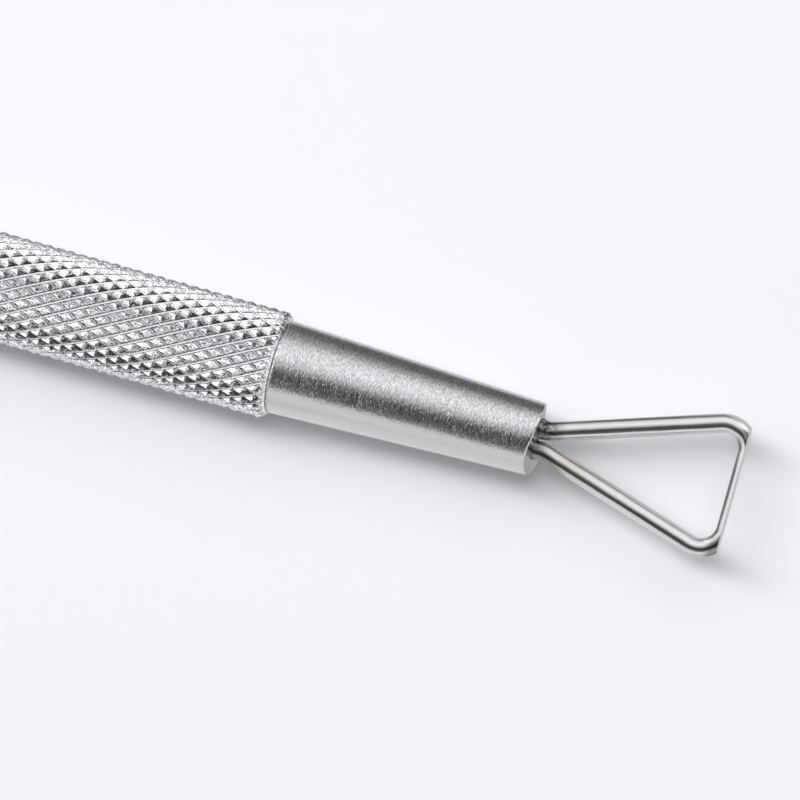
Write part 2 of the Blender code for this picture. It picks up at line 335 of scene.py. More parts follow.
def rounded_corner(corner, before, after, radius, steps):
    """Points of the arc that rounds a profile's corner, in order."""
    corner = Vector(corner)
    first = (Vector(before) - corner).normalized()
    last = (Vector(after) - corner).normalized()
    half = first.angle(last) / 2
    centre = corner + (first + last).normalized() * (radius / math.sin(half))
    start = (corner + first * (radius / math.tan(half)) - centre).normalized()
    end = (corner + last * (radius / math.tan(half)) - centre).normalized()
    points = []
    for step in range(steps + 1):
        points.append(tuple(centre + start.slerp(end, step / steps) * radius))
    return points


def between(start, end, spacing):
    """Points of a straight stretch of a profile, without its ends."""
    start, end = Vector(start), Vector(end)
    count = max(1, round((end - start).length / spacing))
    return [tuple(start.lerp(end, step / count)) for step in range(1, count)]


def turned_mesh(name, profile, steps):
    """A turned piece: a profile of (station, radius) that starts and ends on the axis, spun about X."""
    bm = bmesh.new()
    line = [bm.verts.new((station, 0.0, radius)) for station, radius in profile]
    for start, end in zip(line, line[1:]):
        bm.edges.new((start, end))
    bmesh.ops.spin(
        bm, geom=bm.verts[:] + bm.edges[:], cent=(0, 0, 0), axis=(1, 0, 0), angle=TURN, steps=steps,
        use_merge=True)
    bmesh.ops.remove_doubles(bm, verts=bm.verts, dist=1.0e-7)
    return finished_mesh(name, bm, 24.0)


TURNED_STEPS = 160
RING_SPACING = 0.0012
SEAM = 0.00003  # open line between the grip and the nose
SPIGOT_CLEARANCE = 0.0003
SPIGOT_CHAMFER = 0.0004
LEG_SPACING = 0.0001  # between the two legs
LEG_CLEARANCE = 0.0001  # between the legs and their bore
BORE_ROOM = 0.0005  # past the legs' ends
CUP_ROOM = 0.0001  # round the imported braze
MOUTH_FIT = 0.00008  # between a leg and the nose's mouth
MOUTH_WAIST = 0.00062  # smallest radius of the mouth
FACE_LEAD = 0.00010  # the nose's end face stands forward on the whole,
FACE_TWIST = 0.00020  # and is filed uneven: up on two of its quarters, down on the others
FACE_FADE = (0.0012, 0.0003)  # how far behind the face the unevenness starts, and is full
LOOP_LEAN = math.tan(math.radians(1.1))  # the loop leans a little


def leg_offset(sizes):
    """From the tool's axis to a leg's centre line, inside the nose."""
    return sizes.wire_diameter / 2 + LEG_SPACING / 2


def face_lead(sizes, across, up):
    """How far the nose's end face stands forward at a place on it."""
    rim = sizes.nose_tip_diameter / 2
    return FACE_LEAD + FACE_TWIST * 2 * across * up / rim ** 2


def mouth_radius(sizes, across, up):
    """Radius of the nose's mouth in the direction of a place: it fits closely round both legs."""
    around = math.atan2(up, across)
    leg = sizes.wire_diameter / 2 + MOUTH_FIT
    middle = leg_offset(sizes)
    beside = middle * abs(math.cos(around)) + math.sqrt(leg ** 2 - (middle * math.sin(around)) ** 2)
    return max(MOUTH_WAIST, beside)


def nose_mesh(sizes):
    """Tapered nose: spigot in the grip, small chamfer at the shoulder, rounded rim, cup for the braze."""
    chamfer, chamfer_drop = 0.00016, 0.000072
    base = GRIP_HIGH.x + SEAM
    face = NOSE_HIGH.x
    base_radius = sizes.nose_base_diameter / 2
    spigot = sizes.bore_diameter / 2 - SPIGOT_CLEARANCE
    leg_bore = leg_offset(sizes) + sizes.wire_diameter / 2 + LEG_CLEARANCE
    leg_end = LOOP_LOW.x - BORE_ROOM
    cup_floor = BRAZE_LOW.x - CUP_ROOM
    cup = BRAZE_HIGH.y + CUP_ROOM
    mouth = (face, cup)
    rim = (face, sizes.nose_tip_diameter / 2)
    shoulder = (base + chamfer, base_radius)
    edge = rounded_corner(rim, mouth, shoulder, sizes.nose_edge_radius, 8)
    profile = [
        (leg_end, 0.0),
        (leg_end, leg_bore),
        (cup_floor, leg_bore),
        (cup_floor, cup),
        mouth,
        *edge,
        *between(edge[-1], shoulder, RING_SPACING),
        shoulder,
        (base, base_radius - chamfer_drop),
        (base, spigot),
        (NOSE_LOW.x + SPIGOT_CHAMFER, spigot),
        (NOSE_LOW.x, spigot - SPIGOT_CHAMFER),
        (NOSE_LOW.x, 0.0),
    ]
    mesh = turned_mesh("brushed_nose", profile, TURNED_STEPS)
    for vertex in mesh.vertices:
        finish_nose_end(sizes, vertex.co, face, cup)
    return mesh


def finish_nose_end(sizes, place, face, cup):
    """Draws the mouth in round the legs, and moves the nose's end to where its filed face stands."""
    near = 0.00001
    radius = math.hypot(place.y, place.z)
    if place.x > face - near and radius < cup + near:
        narrower = mouth_radius(sizes, place.y, place.z) / radius
        place.y *= narrower
        place.z *= narrower
    share = smooth_step(place.x, face - FACE_FADE[0], face - FACE_FADE[1])
    place.x += share * face_lead(sizes, place.y, place.z)


def tail_mesh(sizes):
    """Tail: spigot in the grip, a straight band as wide as the grip, then a taper to a rounded end."""
    base = GRIP_LOW.x
    end = TAIL_LOW.x
    spigot = sizes.bore_diameter / 2 - SPIGOT_CLEARANCE
    band = sizes.grip_diameter / 2 * math.cos(TURN / 4 / sizes.knurl_starts)
    chamfer = 0.00012
    centre = (end, 0.0)
    band_end = (base - sizes.tail_band_width, band)
    rim = (end, sizes.tail_end_diameter / 2)
    edge = rounded_corner(rim, band_end, centre, sizes.tail_edge_radius, 10)
    profile = [
        (TAIL_HIGH.x, 0.0),
        (TAIL_HIGH.x, spigot - SPIGOT_CHAMFER),
        (TAIL_HIGH.x - SPIGOT_CHAMFER, spigot),
        (base, spigot),
        (base, band - chamfer),
        (base - chamfer, band),
        *between((base - chamfer, band), band_end, RING_SPACING),
        band_end,
        *between(band_end, edge[0], RING_SPACING),
        *edge,
        centre,
    ]
    return turned_mesh("brushed_tail", profile, TURNED_STEPS)


def leg_bend(sizes, steps):
    """One leg's first bend as (offset, station), from the nose face outwards."""
    straight_out = 0.0003
    radius = sizes.leg_bend_radius
    points = []
    for step in range(steps + 1):
        turn = sizes.leg_angle * step / steps
        offset = leg_offset(sizes) + radius * (1 - math.cos(turn))
        points.append((offset, NOSE_HIGH.x + straight_out + radius * math.sin(turn)))
    return points


def bar_station(sizes):
    """Station of the front bar's centre line, which puts its ground face at the loop's packed end."""
    return LOOP_HIGH.x - sizes.edge_thickness + sizes.wire_diameter / 2


def half_loop(sizes):
    """Half of the wire's centre line as (offset, station), from its end in the bore to the bar."""
    bend = leg_bend(sizes, 14)
    root = (leg_offset(sizes), LOOP_LOW.x)
    bar = bar_station(sizes)
    corner = bend[-1][0] + (bar - bend[-1][1]) * math.tan(sizes.leg_angle)
    turn = TURN / 4 + sizes.leg_angle
    setback = sizes.corner_radius * math.tan(turn / 2)
    start = (
        corner - setback * math.sin(sizes.leg_angle),
        bar - setback * math.cos(sizes.leg_angle),
    )
    centre = (
        start[0] - sizes.corner_radius * math.cos(sizes.leg_angle),
        start[1] + sizes.corner_radius * math.sin(sizes.leg_angle),
    )
    bent = arc(centre, sizes.corner_radius, -sizes.leg_angle, TURN / 4, 30)
    middle = (0.0, bar)
    spacing = 0.0005
    return [
        root, *between(root, bend[0], spacing), *bend, *between(bend[-1], bent[0], spacing), *bent,
        *between(bent[-1], middle, spacing),
    ]


def swept_wire(line, radius, segments):
    """A round bar along a line of (offset, station) in the loop's level plane, with flat ends.

    Its UV map "draw" runs along the wire and round it, in turns of the wire.
    """
    line = np.array(line)
    tangent = np.gradient(line, axis=0)
    tangent /= np.linalg.norm(tangent, axis=1)[:, None]
    across = np.stack([tangent[:, 1], -tangent[:, 0]], axis=-1)
    lengths = np.concatenate([[0.0], np.cumsum(np.linalg.norm(np.diff(line, axis=0), axis=1))])
    bm = bmesh.new()
    uv = bm.loops.layers.uv.new("draw")
    rings = []
    for (offset, station), (sideways, onward) in zip(line, across):
        ring = []
        for segment in range(segments):
            around = TURN * segment / segments
            out = radius * math.cos(around)
            point = (station + onward * out, offset + sideways * out, radius * math.sin(around))
            ring.append(bm.verts.new(point))
        rings.append(ring)
    turns = lengths / (TURN * radius)
    for index in range(len(rings) - 1):
        for segment in range(segments):
            after = (segment + 1) % segments
            lower, upper = rings[index], rings[index + 1]
            face = bm.faces.new((lower[segment], lower[after], upper[after], upper[segment]))
            corners = (
                (turns[index], segment), (turns[index], segment + 1),
                (turns[index + 1], segment + 1), (turns[index + 1], segment),
            )
            for loop, (along, around) in zip(face.loops, corners):
                loop[uv].uv = (along, around / segments)
    bm.faces.new(rings[0])
    bm.faces.new(reversed(rings[-1]))
    return bm


def loop_mesh(sizes):
    """The bent wire with the front of its bar ground flat; the ground face takes the second material."""
    side = half_loop(sizes)
    other = [(-offset, station) for offset, station in reversed(side)]
    line = side + [(0.0, bar_station(sizes))] + other
    bm = swept_wire(line, sizes.wire_diameter / 2, 48)
    bmesh.ops.bisect_plane(
        bm, geom=bm.verts[:] + bm.edges[:] + bm.faces[:], dist=1.0e-8,
        plane_co=(LOOP_HIGH.x, 0, 0), plane_no=(1, 0, 0), clear_outer=True)
    open_edges = [edge for edge in bm.edges if edge.is_boundary]
    made = bmesh.ops.contextual_create(bm, geom=open_edges)
    for face in made["faces"]:
        face.material_index = 1
    for vertex in bm.verts:
        vertex.co.y += max(0.0, vertex.co.x - NOSE_HIGH.x) * LOOP_LEAN
    return finished_mesh("ground_loop", bm, 30.0)


def braze_mesh(sizes):
    """The braze: recessed in the cup on one side, heaped over the rim and up the leg on the other."""
    rings, columns = 48, 160
    under_rim = 0.00002  # so that no gap shows between the braze and the mouth
    heap_reach, heap_lobes = 0.00012, 0.00006  # how far the heap lies over the rim, and how unevenly
    skirt = (BRAZE_HIGH.y + CUP_ROOM) * 0.98  # radius of the braze inside the cup
    skirt_start = NOSE_HIGH.x - 0.0006
    turns = [TURN * column / columns for column in range(columns)]
    points = []
    for ring in range(rings + 1):
        for around in turns:
            beside, above = math.cos(around), math.sin(around)
            lobe = noise.noise(Vector((beside, above, 4.0)) * 2.2)
            outer = mouth_radius(sizes, beside, above) + under_rim
            outer += braze_heap(around) * (heap_reach + heap_lobes * lobe)
            across = outer * ring / rings * beside
            up = outer * ring / rings * above
            points.append((braze_station(sizes, across, up, ring / rings), across, up))
    for station in (skirt_start, BRAZE_LOW.x):
        for around in turns:
            points.append((station, skirt * math.cos(around), skirt * math.sin(around)))
    points.append((BRAZE_LOW.x, 0.0, 0.0))
    faces = []
    for ring in range(rings + 2):
        for column in range(columns):
            after = (column + 1) % columns
            near, far = ring * columns, (ring + 1) * columns
            faces.append((near + column, far + column, far + after, near + after))
    last = (rings + 2) * columns
    for column in range(columns):
        faces.append((last + column, len(points) - 1, last + (column + 1) % columns))
    bm = bmesh.new()
    corners = [bm.verts.new(point) for point in points]
    for face in faces:
        bm.faces.new([corners[index] for index in face])
    bmesh.ops.remove_doubles(bm, verts=bm.verts, dist=1.0e-8)
    return finished_mesh("braze_bead", bm, 70.0)


def braze_heap(around):
    """Share of the braze that is heaped in a direction across the mouth: only above the +Y leg."""
    heap_middle = math.radians(55.0)
    return smooth_step(math.cos(around - heap_middle), 0.35, 0.80)


def braze_station(sizes, across, up, outward):
    """Station of the braze's skin at a place across the nose's mouth."""
    sunk, crown, rim_drop = 0.00007, 0.00004, 0.00003
    fillet = 0.00016  # from the leg out to where the braze starts to climb
    leg_shift = 0.00004  # the leg has opened a little where the braze climbs it
    heaped = braze_heap(math.atan2(up, across)) * smooth_step(outward, 0.2, 0.5)
    level = crown * heaped * (1 - outward ** 6) - sunk * (1 - heaped)
    level -= rim_drop * smooth_step(outward, 0.93, 1.0)
    aside = across - leg_offset(sizes) - leg_shift
    from_leg = math.hypot(aside, up) - sizes.wire_diameter / 2
    share = 1 - min(1.0, max(0.0, from_leg / fillet))
    climb_middle = math.radians(80.0)
    towards = math.cos(math.atan2(up, aside) - climb_middle)
    ragged = noise.noise(Vector((across, up, 0.01)) * 3600)
    climb = sizes.braze_climb * smooth_step(towards, 0.0, 0.75) * (1 + 0.8 * ragged)
    place = Vector((across, up, 0.0))
    lumps = 0.00006 * noise.noise(place * 3400) + 0.00003 * noise.noise(place * 9000)
    lumps *= smooth_step(1 - outward, 0.0, 0.12)
    return NOSE_HIGH.x + face_lead(sizes, across, up) + level + climb * share ** 1.8 + lumps


# Shader nodes

def node(tree, kind, inputs=None, **settings):
    """Adds a node. An input is a value, or another node's output to link."""
    new = tree.nodes.new(kind)
    for name, value in settings.items():
        setattr(new, name, value)
    for key, value in (inputs or {}).items():
        if isinstance(value, bpy.types.NodeSocket):
            tree.links.new(value, new.inputs[key])
        else:
            new.inputs[key].default_value = value
    return new


def maths(tree, operation, first, second=0.0, clamp=False):
    """A math node's result; each of the two is a number or a link."""
    inputs = {0: first, 1: second}
    return node(tree, "ShaderNodeMath", inputs, operation=operation, use_clamp=clamp).outputs[0]


def times(tree, first, *others):
    """The product of all that it is given."""
    for other in others:
        first = maths(tree, "MULTIPLY", first, other)
    return first


def axes(tree, vector):
    """The X, Y and Z of a vector."""
    return tuple(node(tree, "ShaderNodeSeparateXYZ", {0: vector}).outputs)


def joined(tree, x, y, z):
    """A vector from its X, Y and Z."""
    return node(tree, "ShaderNodeCombineXYZ", {0: x, 1: y, 2: z}).outputs[0]


def place_on_piece(tree):
    """The shaded point in its piece's own axes, where the tool's axis is the X axis."""
    return node(tree, "ShaderNodeTexCoord").outputs["Object"]


def stretch(tree, vector, factors):
    """A vector with each of its axes scaled."""
    return node(tree, "ShaderNodeVectorMath", {0: vector, 1: factors}, operation="MULTIPLY").outputs[0]


def grain(tree, vector, scale=None, detail=2.0, roughness=0.5):
    """Noise over a vector, with each axis scaled where a scale is given."""
    if scale is not None:
        vector = stretch(tree, vector, scale)
    inputs = {"Vector": vector, "Scale": 1.0, "Detail": detail, "Roughness": roughness}
    return node(tree, "ShaderNodeTexNoise", inputs).outputs["Fac"]


def spread(tree, value, low, high, to_low, to_high):
    """Goes evenly from one number to another while the value goes from low to high, and stops there."""
    inputs = {0: value, 1: low, 2: high, 3: to_low, 4: to_high}
    return node(tree, "ShaderNodeMapRange", inputs).outputs[0]


def by_grain(tree, value, low, high):
    """From low to high over the range that most of a noise is in."""
    return spread(tree, value, 0.3, 0.7, low, high)


def mix(tree, share, first, second):
    """Mixes two values, each a number or a link."""
    return node(tree, "ShaderNodeMix", {0: share, 2: first, 3: second}).outputs[0]


def blend(tree, share, first, second):
    """Mixes two colours, each a tuple or a link."""
    inputs = {0: share, 6: first, 7: second}
    new = node(tree, "ShaderNodeMix", inputs, data_type="RGBA")
    return new.outputs[2]


def bumps(tree, layers):
    """A chain of bump nodes from (height, depth in metres) pairs; the last one's normal."""
    normal = None
    for height, depth in layers:
        inputs = {"Height": height, "Distance": depth, "Strength": 1.0}
        if normal is not None:
            inputs["Normal"] = normal
        normal = node(tree, "ShaderNodeBump", inputs).outputs["Normal"]
    return normal


def rgba(colour, level=1.0):
    """A colour at a share of its brightness, for a socket."""
    return (colour[0] * level, colour[1] * level, colour[2] * level, 1.0)


BLACK = (0.0, 0.0, 0.0, 1.0)


def new_metal(name):
    """A metal's tree and its shader, ready to be given colour, roughness and relief."""
    material = bpy.data.materials.new(name)
    material.use_nodes = True
    tree = material.node_tree
    shader = tree.nodes["Principled BSDF"]
    shader.inputs["Metallic"].default_value = 1.0
    return material, tree, shader


def plug(tree, shader, colour, roughness, normal):
    """Links a metal's colour, roughness and relief to its shader."""
    tree.links.new(colour, shader.inputs["Base Color"])
    tree.links.new(roughness, shader.inputs["Roughness"])
    tree.links.new(normal, shader.inputs["Normal"])


# The grooves of each hand: how the lattice's column and row combine across it, half its floor's width in
# lattice steps (the floor is a painted highlight line), the share of colour that the painted shade leaves
# on the walls beside the floor, and how dull the floor is
GROOVES = (("SUBTRACT", 0.09, 0.40, 0.25), ("ADD", 0.15, 0.18, 0.75))
# Pale colour of the dull groove floors: a painted highlight line along each groove
HIGHLIGHT_FLOOR_COLOUR = (0.90, 0.90, 0.91)


def knurled_steel(colour):
    """Rolled facets with a coarse sparkle, painted shade on the groove walls, and bright floors in the
    grooves as painted highlight lines, most of all of one hand.
    """
    material, tree, shader = new_metal("knurled_steel")
    place = place_on_piece(tree)
    column, row = axes(tree, node(tree, "ShaderNodeUVMap", uv_map="lattice").outputs[0])[:2]
    coarse = grain(tree, place, (4200, 4200, 4200))
    fine = grain(tree, place, (7500, 7500, 7500))
    wobble = times(tree, maths(tree, "SUBTRACT", coarse, 0.5), 0.12)
    base = blend(tree, spread(tree, fine, 0.36, 0.60, 0.0, 1.0), rgba(colour, 0.40), rgba(colour, 1.10))
    metallic = 1.0
    floor = 0.0
    for operation, width, shade_tone, dullness in GROOVES:
        across = maths(tree, "PINGPONG", maths(tree, operation, column, row), 1.0)
        from_groove = maths(tree, "ADD", maths(tree, "SUBTRACT", 1.0, across), wobble)
        # The wall's painted shade fades out up the facet, and the floor's painted highlight ends in a
        # narrow soft line
        wall_shade = spread(tree, from_groove, width + 0.08, width + 0.18, shade_tone, 1.0)
        base = blend(tree, wall_shade, BLACK, base)
        highlight_floor = spread(tree, from_groove, width - 0.02, width + 0.03, 1.0, 0.0)
        base = blend(tree, highlight_floor, base, rgba(HIGHLIGHT_FLOOR_COLOUR))
        metallic = maths(tree, "SUBTRACT", metallic, times(tree, highlight_floor, dullness), clamp=True)
        floor = maths(tree, "MAXIMUM", floor, highlight_floor)
    along = axes(tree, place)[0]
    middle = (GRIP_LOW.x + GRIP_HIGH.x) / 2
    from_middle = maths(tree, "ABSOLUTE", maths(tree, "SUBTRACT", along, middle))
    fade_start, fade_end = (GRIP_LENGTH / 2 - width for width in BEVEL_SHINE)
    base = blend(tree, spread(tree, from_middle, fade_start, fade_end, 0.0, 1.0), base, rgba(colour, 0.92))
    roughness = maths(tree, "ADD", by_grain(tree, coarse, 0.08, 0.20), times(tree, floor, 0.35))
    tree.links.new(metallic, shader.inputs["Metallic"])
    plug(tree, shader, base, roughness, bumps(tree, [(coarse, 0.000044), (fine, 0.000020)]))
    return material


def brushed_steel(name, colour):
    """Steel brushed round the X axis, with the rings of the lathe on its end faces.

    Its specks are painted sparkle: they lie only on the upper +Y side, where the metal shows the bright
    bands.
    """
    material, tree, shader = new_metal(name)
    place = place_on_piece(tree)
    across, up = axes(tree, place)[1:]
    around = maths(tree, "ARCTAN2", across, up)
    outward = node(tree, "ShaderNodeVectorMath", {0: stretch(tree, place, (0, 1, 1))}, operation="LENGTH")
    hair = grain(tree, place, (12500, 3400, 3400))
    streak = grain(tree, place, (3400, 500, 500))
    rings = grain(tree, joined(tree, times(tree, outward.outputs["Value"], 9000.0), around, 0.0))
    # Painted sparkle: tone specks only on the side where the bright bands are reflected
    sparkle_speck = by_grain(tree, grain(tree, place, (12500, 3800, 3800), detail=1.0), -0.5, 0.5)
    sparkle_side = times(
        tree, spread(tree, around, -0.45, -0.10, 0.0, 1.0), spread(tree, around, 1.10, 1.50, 1.0, 0.0))
    tone = maths(tree, "ADD", 0.5, times(tree, sparkle_speck, sparkle_side))
    base = blend(tree, tone, rgba(colour, 0.70), rgba(colour, 1.30))
    relief = [(hair, 0.000025), (streak, 0.000022), (rings, 0.000008)]
    plug(tree, shader, base, by_grain(tree, streak, 0.17, 0.26), bumps(tree, relief))
    return material


def brazing_stain(tree, from_nose, across, cloud):
    """Share of the straw stain: strongest by the nose, cloudy, and weaker on the leg with the braze."""
    return times(
        tree, spread(tree, from_nose, 0.0008, 0.0060, 0.85, 0.0), spread(tree, cloud, 0.35, 0.6, 0.4, 1.0),
        spread(tree, across, -0.0008, 0.0004, 1.0, 0.2))


def wire_shade_and_burns(tree, place, from_nose):
    """Share of its colour that the wire keeps under the painted shade at its root and on the bar, and where
    the braze burnt it.
    """
    along, across = axes(tree, place)[:2]
    # Painted shade at the root, up to a slanting line which lies further out on the -Y leg
    root = maths(tree, "ADD", from_nose, times(tree, across, 1.2))
    root = spread(tree, root, 0.0, 0.0007, 0.45, 1.0)
    # Painted shade on the bar by its ground edge, which dims its reflection, apart from the +Y corner
    bar = spread(tree, along, LOOP_HIGH.x - 0.0010, LOOP_HIGH.x - 0.0005, 1.0, 0.42)
    bar = maths(tree, "MAXIMUM", bar, spread(tree, across, 0.0044, 0.0048, 0.0, 1.0))
    # Only the +Y leg is burnt, in blotches just outside the braze
    mottle = grain(tree, place, (5200, 5200, 5200), detail=3.0, roughness=0.6)
    burnt = times(
        tree, spread(tree, mottle, 0.40, 0.58, 0.50, 1.0),
        spread(tree, from_nose, 0.0010, 0.0021, 1.0, 0.0), spread(tree, across, 0.0002, 0.0005, 0.0, 1.0))
    return times(tree, root, bar, spread(tree, burnt, 0.0, 1.0, 1.0, 0.20))


def polished_wire(colour, tint):
    """Drawn and polished wire: faint lines along it, a straw stain where it was brazed, and painted shade
    at its root and on its bar.
    """
    material, tree, shader = new_metal("polished_wire")
    drawn, turn = axes(tree, node(tree, "ShaderNodeUVMap", uv_map="draw").outputs[0])[:2]
    around = times(tree, turn, TURN)
    round_wire = joined(
        tree, times(tree, drawn, 0.45), times(tree, maths(tree, "COSINE", around), 9.0),
        times(tree, maths(tree, "SINE", around), 9.0))
    lines = grain(tree, round_wire, detail=3.0, roughness=0.6)
    place = place_on_piece(tree)
    along, across = axes(tree, place)[:2]
    from_nose = maths(tree, "SUBTRACT", along, NOSE_HIGH.x)
    cloud = grain(tree, place, (900, 900, 900))
    base = blend(tree, by_grain(tree, lines, 0.0, 1.0), rgba(colour, 0.90), rgba(colour, 1.08))
    base = blend(tree, brazing_stain(tree, from_nose, across, cloud), base, rgba(tint))
    # Painted shade at the root and on the bar, together with the burnt blotches
    base = blend(tree, wire_shade_and_burns(tree, place, from_nose), BLACK, base)
    normal = bumps(tree, [(lines, 0.000010), (cloud, 0.000020)])
    plug(tree, shader, base, by_grain(tree, lines, 0.06, 0.11), normal)
    return material


def ground_steel(colour):
    """The ground front of the bar, with fine scratches across it."""
    material, tree, shader = new_metal("ground_steel")
    scratch = grain(tree, place_on_piece(tree), (300, 12000, 500))
    base = blend(tree, scratch, rgba(colour, 0.8), rgba(colour, 1.05))
    plug(tree, shader, base, by_grain(tree, scratch, 0.22, 0.36), bumps(tree, [(scratch, 0.000006)]))
    return material


def silver_braze(colour):
    """Dull braze with pits and flux stains."""
    material, tree, shader = new_metal("silver_braze")
    place = place_on_piece(tree)
    pits = grain(tree, place, (7000, 7000, 7000), detail=3.0, roughness=0.6)
    stains = grain(tree, place, (2600, 2600, 2600))
    base = blend(tree, spread(tree, stains, 0.42, 0.62, 0.0, 1.0), rgba(colour, 0.18), rgba(colour, 1.20))
    recess = spread(tree, axes(tree, place)[1], -0.0002, 0.0004, 1.0, 0.0)
    base = blend(tree, recess, base, rgba(colour, 1.5))
    plug(tree, shader, base, by_grain(tree, pits, 0.34, 0.62), bumps(tree, [(pits, 0.00007)]))
    return material


def banded(tree, position, bands, start, span):
    """Brightness from (place, brightness) pairs, at a position from 0 to 1 along the span."""
    ramp = node(tree, "ShaderNodeValToRGB", {0: position})
    brightest = max(level for place, level in bands)
    stops = ramp.color_ramp.elements
    while len(stops) < len(bands):
        stops.new(0.5)
    for stop, (place, level) in zip(stops, bands):
        stop.position = (place - start) / span
        stop.color = (level / brightest,) * 3 + (1.0,)
    return times(tree, ramp.outputs["Color"], brightest)


# How bright the table glows for metal, a painted reflection with painted shade under the tool, by
# millimetres from the tool's axis towards +Y
TABLE_START, TABLE_END = -20.0, 40.0
UNDER_LOOP = 0.72  # past the nose, in place of the bands
UNDER_GRIP = 0.60  # under the grip, mixed with the bands
TABLE_BANDS = (
    (-20, 0.95), (-5.6, 0.95), (-4.2, 0.50), (2.8, 0.50), (3.4, 0.85), (6.2, 0.85), (7.6, 0.17), (40, 0.20),
)


def table_top(colour):
    """Pale table. For metal it glows as a painted reflection instead: painted shade under the tool, and
    dark on the far side, where the set is dark.
    """
    material = bpy.data.materials.new("table_top")
    material.use_nodes = True
    tree = material.node_tree
    shader = tree.nodes["Principled BSDF"]
    place = place_on_piece(tree)
    mottle = grain(tree, place, (160, 160, 160), detail=4.0)
    base = blend(tree, mottle, rgba(colour, 0.995), rgba(colour, 1.0))
    tree.links.new(base, shader.inputs["Base Color"])
    shader.inputs["Roughness"].default_value = 0.7
    shader.inputs["Specular IOR Level"].default_value = 0.0
    along, across = axes(tree, place)[:2]
    position = spread(tree, across, TABLE_START * MILLIMETRE, TABLE_END * MILLIMETRE, 0.0, 1.0)
    painted_glow_level = banded(tree, position, TABLE_BANDS, TABLE_START, TABLE_END - TABLE_START)
    beyond = spread(tree, along, 0.055, 0.062, 0.0, 1.0)
    by_grip = spread(tree, along, GRIP_HIGH.x - 0.0045, GRIP_HIGH.x - 0.0020, 0.6, 0.0)
    painted_glow_level = mix(tree, by_grip, mix(tree, beyond, painted_glow_level, UNDER_LOOP), UNDER_GRIP)
    # The painted reflection: metal sees this glow in place of the lit table
    glow = node(tree, "ShaderNodeEmission", {"Color": painted_glow_level, "Strength": 1.0}).outputs[0]
    glossy = node(tree, "ShaderNodeLightPath").outputs["Is Glossy Ray"]
    mixed = node(tree, "ShaderNodeMixShader", {0: glossy, 1: shader.outputs[0], 2: glow}).outputs[0]
    tree.links.new(mixed, tree.nodes["Material Output"].inputs["Surface"])
    return material


# What metal sees over the table: degrees from straight up, plus is towards +Y, and the brightness there.
# The sets are for directions towards the tail, square to the tool, and towards the loop.
TAIL_BANDS = (
    (-92, 1.00), (-60, 1.25), (-52, 1.80), (-20, 2.60), (44, 2.60), (58, 1.90), (75, 1.50), (92, 1.30),
)
SQUARE_BANDS = (
    (-92, 0.96), (-57, 0.96), (-54, 0.21), (-45, 0.12), (-20, 0.08), (-11, 0.10), (-2, 0.36), (6, 0.72),
    (14, 0.96), (30, 1.28), (43, 1.26), (58, 1.10), (70, 0.92), (80, 0.55), (92, 0.33),
)
LOOP_BANDS = (
    (-92, 1.00), (-57, 1.00), (-48, 0.80), (-36, 0.30), (-26, 0.05), (22, 0.05), (31, 0.50), (40, 1.40),
    (60, 1.50), (75, 1.30), (92, 1.10),
)


PAST_LOOP = 1.10  # brightness straight ahead of the loop
BACKDROP_COLOUR = (0.985, 0.985, 1.0, 1.0)
BACKDROP_LEVEL = 0.96


def studio_world(fill):
    """Pale to the camera, even fill for soft surfaces, and bands of soft light and dark set for metal."""
    world = bpy.data.worlds.new("studio")
    bpy.context.scene.world = world
    world.use_nodes = True
    tree = world.node_tree
    tree.nodes.clear()
    along, across, up = axes(tree, node(tree, "ShaderNodeTexCoord").outputs["Generated"])
    lean = maths(tree, "ARCTAN2", across, up)
    position = maths(tree, "ADD", maths(tree, "DIVIDE", lean, TURN), 0.5)
    square, tail, loop = (
        banded(tree, position, bands, -180.0, 360.0) for bands in (SQUARE_BANDS, TAIL_BANDS, LOOP_BANDS))
    level = mix(tree, spread(tree, along, -0.62, -0.42, 1.0, 0.0), square, tail)
    level = mix(tree, spread(tree, along, 0.16, 0.28, 0.0, 1.0), level, loop)
    level = mix(tree, spread(tree, along, 0.70, 0.90, 0.0, 1.0), level, PAST_LOOP)
    path = node(tree, "ShaderNodeLightPath").outputs
    strength = mix(tree, path["Is Glossy Ray"], fill, level)
    strength = mix(tree, path["Is Camera Ray"], strength, BACKDROP_LEVEL)
    background = node(tree, "ShaderNodeBackground", {"Color": BACKDROP_COLOUR, "Strength": strength})
    output = node(tree, "ShaderNodeOutputWorld")
    tree.links.new(background.outputs[0], output.inputs["Surface"])


LIGHT_DISTANCE = 1.5
LIGHT_AIM = Vector((0.03, 0.0, 0.0))  # on the table, under the part that the camera sees
# Soft lights: name, direction from the tool, length along X and width in metres, share of the light
LIGHTS = (
    ("key", (-0.45, 0.29, 1.0), 2.2, 0.36, 0.48),
    ("broad", (-0.20, 0.60, 1.2), 2.0, 1.8, 0.52),
)


def soft_light(name, direction, length, width, power):
    """A light that faces the tool, long along X. Metal sees the studio's bands in its place."""
    data = bpy.data.lights.new(name, "AREA")
    data.shape = "RECTANGLE"
    data.size = length
    data.size_y = width
    data.energy = power
    light = bpy.data.objects.new(name, data)
    back = Vector(direction).normalized()
    side = Vector((0, 1, 0)).cross(back).normalized()
    turned = Matrix((side, back.cross(side), back)).transposed()
    light.matrix_world = Matrix.Translation(LIGHT_AIM + back * LIGHT_DISTANCE) @ turned.to_4x4()
    light.visible_glossy = False
    light.visible_camera = False
    bpy.context.scene.collection.objects.link(light)


# Operators

class SCRAPER_OT_grip(bpy.types.Operator):
    """Build the knurled tube"""
    bl_idname = "scraper.grip"
    bl_label = "Knurled grip"

    def execute(self, context):
        mesh = knurled_mesh(context.scene.scraper_sizes)
        material = knurled_steel(context.scene.scraper_colours.knurl)
        dress("knurled_tube", mesh, [material], "knurled_grip")
        return {"FINISHED"}


